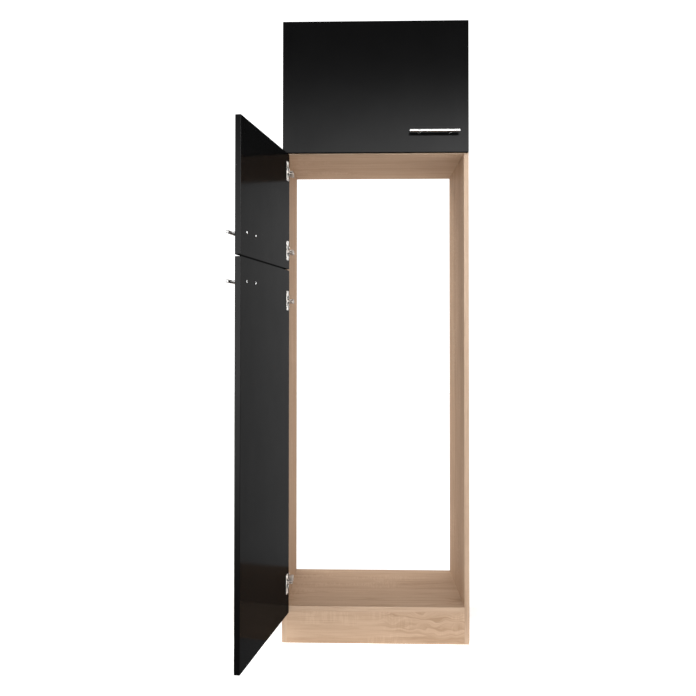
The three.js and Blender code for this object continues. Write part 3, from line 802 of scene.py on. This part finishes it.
def arm_mesh():
    """Hinge arm folded from sheet, about its pin: two cheeks, the web and the pin."""
    sizes = fittings()
    low, high = from_arm_pin(f"{HINGE}_arm")
    half, outer, inner, end = extent(f"{HINGE}_arm", 2) / 2, high.x, low.x, high.y
    tip, mouth, past = -low.y, sizes.arm_mouth, high.x + OVERRUN
    end_corner, foot_corner, heel, fold = 0.003, 0.0015, 0.002, 0.0011
    outline = arc((outer - end_corner, end - end_corner), end_corner, 0, 90, 6)
    outline += arc((inner + foot_corner, end - foot_corner), foot_corner, 90, 180, 4)
    outline += [(inner, mouth + heel)] + arc((0, 0), tip, 180, 360, 24)
    bends = softened(prism(outline, -half, half), fold, 4, 60)
    free = half - sizes.arm_cheek
    channel = block((inner - OVERRUN, mouth, -free), (outer - sizes.arm_web, end + OVERRUN, free))
    gap = block((inner - OVERRUN, -2 * tip, -free), (past, mouth, free))
    hole, slot_half = 0.0026, 0.0023
    side, depth = sizes.arm_screws, sizes.arm_screws + sizes.arm_screw_pitch
    side_hole = rod(hole, (0, side, 0), (past, side, 0))
    outline = [(end + OVERRUN, -slot_half), (end + OVERRUN, slot_half)]
    slot = prism([*arc((depth, 0), slot_half, 90, 270, 12), *outline], 0, past)
    rib_start, rib_end, rib_half, rib_corner, rib_depth = 0.008, 0.007, 0.0022, 0.0021, 0.0004
    rib = rounded_rectangle(side + rib_start, depth - rib_end, rib_half, rib_corner)
    ribs = moved(prism(rib, outer - rib_depth, past), ON_SIDE)
    short = half - 0.0001
    axle = rod(sizes.pin_radius, (0, 0, -short), (0, 0, short), PIN_STEPS)
    body = carved(bends, cuts=[channel, gap, side_hole, moved(slot, ON_SIDE), ribs])
    return carved(body, joins=[axle])


def plate_mesh():
    """Mounting plate, about the arm pin: wings on the side board and the ridge under the arm."""
    sizes = fittings()
    low, high = from_arm_pin(f"{HINGE}_plate")
    arm_high = from_arm_pin(f"{HINGE}_arm")[1]
    half, wall = extent(f"{HINGE}_plate", 2) / 2, low.x
    line = sizes.plate_line + from_arm_pin("left_side")[0].y
    wing = sizes.plate_wing / 2
    wing_edge, ridge_edge, side_gap, top_gap, bed = 0.0005, 0.0006, 0.0003, 0.0002, 0.0001
    outline = rounded_rectangle(line - wing, line + wing, half, sizes.plate_corner)
    wings = moved(softened(prism(outline, wall, wall + sizes.plate_base), wing_edge, 3), ON_SIDE)
    ridge_half = extent(f"{HINGE}_arm", 2) / 2 - sizes.arm_cheek - side_gap
    top = min(high.x, arm_high.x - sizes.arm_web - top_gap)
    bar = block((wall + bed, low.y, -ridge_half), (top, high.y, ridge_half))
    ridge = softened(bar, ridge_edge, 3)
    well, hole, deep = 0.0085, 0.0026, 0.006
    low = (top - well, line - wing, -ridge_half / 2)
    hollow = block(low, (top + OVERRUN, line + wing, ridge_half / 2))
    sink = rod(hole, (wall - OVERRUN, line, 0), (wall + deep, line, 0))
    sinks = pair(sink, sizes.plate_screw_pitch, Z)
    return carved(wings, joins=[ridge], cuts=[hollow, sinks])


def pin_mesh(node):
    """Shelf pin, about its middle: a round stem, and the flat tongue that the shelf lies on."""
    long, wide, high = (extent(node, axis) for axis in range(3))
    top = high / 2
    stem_radius, stem_short, tongue = 0.0025, 0.0006, 0.0025
    entry, corner, edge, past = 0.0093, 0.002, 0.0003, 0.02
    stem = rod(stem_radius, (-long / 2, 0, 0), (long / 2 - stem_short, 0, 0))
    outline = rounded_rectangle(entry - long / 2, long / 2, wide / 2, corner)
    plate = softened(prism(outline, top - tongue, top), edge)
    flat_top = block((-long, -past, top - tongue + stem_radius), (long, past, past))
    return carved(stem, joins=[plate], cuts=[flat_top] if top < stem_radius else [])


class HOUSING_OT_boards(bpy.types.Operator):
    """Gives the carcass boards their oak decor, each with its own figure"""

    bl_idname = "housing.boards"
    bl_label = "Boards"

    def execute(self, context):
        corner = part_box("left_side")[1]
        raw = [("y", corner.y), ("z", 0.0), ("z", corner.z)]
        for node, drift in (("left_side", 0.0), ("right_side", 1.31)):
            paint(node, oak_finish(node, "z", "y", drift, raw))
        for i, node in enumerate(("top_board", "niche_top_board", "niche_floor_board", "shelf")):
            raw = [("y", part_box(node)[1].y)]
            paint(node, oak_finish(node, "x", "y", 2.2 + 0.83 * i, raw))
        paint("plinth_board", oak_finish("plinth_board", "x", "z", 7.4, [("z", 0.0)], -1))
        return {"FINISHED"}


class HOUSING_OT_backing(bpy.types.Operator):
    """Gives the thin back of the top compartment its pale inner face and bare outer face"""

    bl_idname = "housing.backing"
    bl_label = "Compartment back"

    def execute(self, context):
        paint("compartment_back", backing_finish())
        return {"FINISHED"}


class HOUSING_OT_fronts(bpy.types.Operator):
    """Gives the three fronts their black satin coating"""

    bl_idname = "housing.fronts"
    bl_label = "Fronts"

    def execute(self, context):
        for door in DOORS:
            paint(f"{door}_door", front_finish(door))
        return {"FINISHED"}


class HOUSING_OT_handles(bpy.types.Operator):
    """Makes the bar, posts and screws of each handle"""

    bl_idname = "housing.handles"
    bl_label = "Handles"

    def execute(self, context):
        sizes = fittings()
        post_gap, head_gap = 0.0002, 0.0001
        leaf = leaf_frame("top").inverted()
        low, high = (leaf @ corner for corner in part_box("top_handle_bar"))
        outer_face = (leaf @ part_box("top_door")[0]).y
        axis = (low.y + high.y) / 2
        bar, post = bar_mesh(), post_mesh(outer_face - axis - post_gap)
        reach = -(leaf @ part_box("top_handle_screw_inner")[0]).y
        screw = screw_mesh(sizes.head_radius, sizes.head_height, sizes.shank_radius, reach)
        start = shift(low.x, axis, 0) @ spin(QUARTER, "Y")
        pieces = [("bar", bar, "handle_steel", start, "steel")]
        for side in ("inner", "outer"):
            across = (leaf @ middle_of(f"top_handle_post_{side}")).x
            out = shift(across, outer_face, 0) @ spin(QUARTER, "X")
            head = shift(across, head_gap, 0) @ spin(-QUARTER, "X")
            pieces.append((f"post_{side}", post, "post_steel", out, "steel"))
            pieces.append((f"screw_{side}", screw, "screw_zinc", head, "zinc"))
        for door in DOORS:
            base = leaf_frame(door) @ shift(0, 0, middle_of(f"{door}_handle_bar").z)
            for part, mesh, finish, place, slot in pieces:
                node = f"{door}_handle_{part}"
                fit(f"{node}_turned", mesh, metal(finish), base @ place, f"{door}_door", slot, node)
        return {"FINISHED"}


class HOUSING_OT_hinges(bpy.types.Operator):
    """Makes the cup, link, arm and mounting plate of each hinge"""

    bl_idname = "housing.hinges"
    bl_label = "Hinges"

    def execute(self, context):
        bright, dull = metal("hinge_nickel"), metal("arm_nickel")
        parts = (
            ("cup", cup_mesh(), bright, cup_frame, "{}_door"),
            ("link", link_mesh(), dull, link_frame, "{}_door_links"),
            ("arm", arm_mesh(), dull, arm_frame, "carcass"),
            ("plate", plate_mesh(), dull, arm_frame, "carcass"),
        )
        for door, row in HINGES:
            for part, mesh, nickel, place, body in parts:
                node = f"{door}_door_{row}_hinge_{part}"
                at = place(door, row)
                fit(f"{node}_formed", mesh, nickel, at, body.format(door), "nickel", node)
        return {"FINISHED"}


class HOUSING_OT_hinge_screws(bpy.types.Operator):
    """Makes the screws of the cups and mounting plates, and the arms' adjusting screws"""

    bl_idname = "housing.hinge_screws"
    bl_label = "Hinge screws"

    def execute(self, context):
        sizes = fittings()
        cup_sink, arm_sink = 0.0006, 0.0008
        wall = from_arm_pin(f"{HINGE}_plate")[0].x
        web = from_arm_pin(f"{HINGE}_arm")[1].x
        line = sizes.plate_line + from_arm_pin("left_side")[0].y
        middle = sizes.arm_screws + sizes.arm_screw_pitch / 2
        outward = spin(QUARTER, "Y")
        on_cup = shift(sizes.cup_screw_offset, 0, sizes.flange_rise - cup_sink)
        on_plate = shift(wall + sizes.plate_base, line, 0) @ outward
        on_arm = shift(web - arm_sink, middle, 0) @ outward
        cup = pair(moved(screw_mesh(*CUP_SCREW), on_cup), sizes.cup_screw_pitch, Y)
        plate = pair(moved(screw_mesh(*PLATE_SCREW), on_plate), sizes.plate_screw_pitch, Z)
        arm = pair(moved(screw_mesh(*ARM_SCREW), on_arm), sizes.arm_screw_pitch, Y)
        kinds = (
            ("cup_screws", cup, cup_frame, "{}_door"),
            ("plate_screws", plate, arm_frame, "carcass"),
            ("adjusting_screws", arm, arm_frame, "carcass"),
        )
        for door, row in HINGES:
            for kind, mesh, place, body in kinds:
                name = f"{door}_door_{row}_hinge_{kind}"
                fit(name, mesh, metal("screw_zinc"), place(door, row), body.format(door), "zinc")
        return {"FINISHED"}


class HOUSING_OT_shelf_pins(bpy.types.Operator):
    """Makes the pins that carry the shelf"""

    bl_idname = "housing.shelf_pins"
    bl_label = "Shelf pins"

    def execute(self, context):
        for row in ("front", "back"):
            for side, turn in (("left", 0), ("right", math.pi)):
                node = f"shelf_pin_{row}_{side}"
                place = Matrix.Translation(middle_of(node)) @ spin(turn, "Z")
                mesh, steel = pin_mesh(node), metal("post_steel")
                fit(f"{node}_formed", mesh, steel, place, "carcass", "steel", node)
        return {"FINISHED"}


class HOUSING_OT_connectors(bpy.types.Operator):
    """Makes the cams that join the level boards to the sides, on the faces that stay hidden"""

    bl_idname = "housing.connectors"
    bl_label = "Board connectors"

    def execute(self, context):
        sizes = fittings()
        face, shank, reach = 0.0006, 0.007, 0.0008
        slot_half, slot_long = 0.09, 0.5
        cam = screw_mesh(sizes.connector_radius, face, shank, reach, slot_half, slot_long)
        depths, slot_turn = (0.055, 0.43), 0.6
        boards = (("top_board", False), ("niche_top_board", True), ("niche_floor_board", False))
        for node, upward in boards:
            low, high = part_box(node)
            ends = (low.x + sizes.connector_inset, high.x - sizes.connector_inset)
            for i, (x, y) in enumerate((x, y) for x in ends for y in depths):
                turn = spin(slot_turn * i, "Z")
                if not upward:
                    turn = turn @ spin(math.pi, "X")
                place = shift(x, y, high.z if upward else low.z) @ turn
                fit(f"{node}_cam_{i + 1}", cam, metal("screw_zinc"), place, "carcass", "zinc")
        return {"FINISHED"}


class HOUSING_OT_stage(bpy.types.Operator):
    """Makes the pale floor, the soft light and the camera"""

    bl_idname = "housing.stage"
    bl_label = "Stage"

    def execute(self, context):
        studio = context.scene.housing_studio
        self.floor(studio)
        self.world(context.scene, studio)
        self.soft_box(studio)
        self.camera(context.scene, studio)
        context.scene.view_settings.view_transform = "Standard"
        return {"FINISHED"}

    def floor(self, studio):
        """A pale sheet that gives off light near the object, most of it before the plinth."""
        nodes = Finish("floor")
        grain = nodes.noise(nodes.place(), 3.0, 0.5, 30.0)
        pale = nodes.blend(grain * 0.2, studio.floor_colour, [c * 0.98 for c in studio.floor_colour])
        across, along = nodes.split(nodes.place())[:2]
        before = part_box("plinth_board")[0].y - along
        near = nodes.step(before, -0.5, 0.0) * (1 - nodes.step(before, 0.05, 1.1))
        near = near * (1 - nodes.step(abs(across), 0.25, 0.7)) * 0.66 + 0.2
        near += nodes.step(before, -0.05, 0.0) * (1 - nodes.step(before, 0.0, 0.16)) * 1.15
        finish = nodes.surface(
            Base_Color=pale, Roughness=0.8 + grain * 0.1,
            Emission_Color=nodes.grey(near), Emission_Strength=studio.floor_glow,
        )
        radius, thickness = studio.floor_radius, 0.02
        mesh = lathe([(0, 0), (radius, 0), (radius, -thickness), (0, -thickness)], 96)
        mesh.materials.append(finish)
        floor = added("floor", mesh)
        floor.visible_glossy = False

    def world(self, scene, studio):
        """White behind the object, soft light from all round, and a dim room in reflections
        with a bright band in front."""
        world = scene.world = bpy.data.worlds.new("studio")
        world.use_nodes = True
        world.cycles.sampling_method = "NONE"
        nodes = Nodes(world.node_tree)
        way = nodes.add("ShaderNodeTexCoord", output="Generated")
        right, back, up = nodes.split(way)
        ahead = 1 - nodes.step(back, -0.4, 0.2)
        soft = nodes.blend(ahead, nodes.grey((1 - right * 0.32) * 1.74), [0.76] * 3)

        # The band, which only the fronts and the metal show
        far = 1 - nodes.step(right, -0.45, -0.15)
        width = 0.05 - nodes.least(right, 0.2) * 0.1
        rise = (up - right * 0.03 - 0.2135 + far * 0.037) / width
        panel = nodes.step(up, -0.27, -0.02) * (1 - nodes.step(rise, -1, 1))
        panel *= nodes.step(right, -0.75, -0.55)
        corner = nodes.step(right, -0.12, 0.14) * nodes.step(up, -0.08, 0.12)
        dim = nodes.step(right, -0.04, 0.08) * (1 - nodes.step(up, -0.16, 0.10))
        level = 8.5 + corner * 7.0 + far * 2.2 - dim * 5.0

        # The room behind and above
        tone = nodes.most(nodes.least(1.516 + up * 2.1, 1.65), 0.4)
        tone *= 1 - nodes.step(right, 0.32, 0.44) * 0.45
        tone *= 1 - nodes.step(up, 0.10, 0.19) * 0.35
        tone *= 0.55 + nodes.step(up, -0.26, -0.20) * 0.45
        room = nodes.blend(ahead, nodes.grey(tone), [0.04] * 3)
        room = nodes.blend(ahead * panel, room, nodes.grey(level))
        room = nodes.blend(nodes.step(up, 0.55, 0.75), room, [1.3] * 3)

        rays = ("Is Glossy Ray", "Is Camera Ray")
        glossy, seen = (nodes.add("ShaderNodeLightPath", output=ray) for ray in rays)
        light = nodes.blend(seen, nodes.blend(glossy, soft, room), [1.3] * 3)
        shader = nodes.add("ShaderNodeBackground", sockets={0: light, 1: studio.ambient})
        nodes.add("ShaderNodeOutputWorld", sockets={0: shader})

    def soft_box(self, studio):
        """A wide light above and before the object, aimed at its middle."""
        place, aim = Vector((-0.5, -4.0, 2.3)), Vector((0, 0, 1.0))
        light = bpy.data.lights.new("soft_box", "AREA")
        light.shape = "RECTANGLE"
        light.size, light.size_y = 4.0, 2.2
        light.energy = studio.front_light
        box = added("soft_box", light)
        box.location = place
        box.rotation_euler = (aim - place).to_track_quat("-Z", "Y").to_euler()
        box.visible_glossy = False
        box.visible_camera = False

    def camera(self, scene, studio):
        data = bpy.data.cameras.new("camera")
        data.lens = studio.camera_lens
        data.shift_x, data.shift_y = studio.camera_shift
        camera = added("camera", data)
        level = spin(QUARTER + studio.camera_pitch, "X")
        turn, roll = spin(studio.camera_yaw, "Z"), spin(studio.camera_roll, "Z")
        camera.matrix_world = shift(*studio.camera_place) @ turn @ level @ roll
        scene.camera = camera


class HOUSING_PT_panel(bpy.types.Panel):
    """Settings and makers of the housing's looks"""

    bl_idname = "HOUSING_PT_panel"
    bl_label = "Fridge housing"
    bl_space_type = "VIEW_3D"
    bl_region_type = "UI"
    bl_category = "Housing"

    def draw(self, context):
        for maker in MAKERS:
            self.layout.operator(maker.bl_idname)
        for group in GROUPS:
            settings = getattr(context.scene, group)
            box = self.layout.box()
            for name in type(settings).__annotations__:
                box.prop(settings, name)


MAKERS = (
    HOUSING_OT_stage,
    HOUSING_OT_boards,
    HOUSING_OT_backing,
    HOUSING_OT_fronts,
    HOUSING_OT_handles,
    HOUSING_OT_hinges,
    HOUSING_OT_hinge_screws,
    HOUSING_OT_shelf_pins,
    HOUSING_OT_connectors,
)
GROUPS = {
    "housing_finishes": HousingFinishes,
    "housing_fittings": HousingFittings,
    "housing_studio": HousingStudio,
}


def register():
    for kind in (*GROUPS.values(), *MAKERS, HOUSING_PT_panel):
        bpy.utils.register_class(kind)
    for name, group in GROUPS.items():
        setattr(bpy.types.Scene, name, PointerProperty(type=group))


def unregister():
    for name in GROUPS:
        delattr(bpy.types.Scene, name)
    for kind in (HOUSING_PT_panel, *MAKERS, *GROUPS.values()):
        bpy.utils.unregister_class(kind)


def main():
    register()
    for maker in MAKERS:
        getattr(bpy.ops.housing, maker.bl_idname.split(".")[1])()


if __name__ == "__main__":
    main()
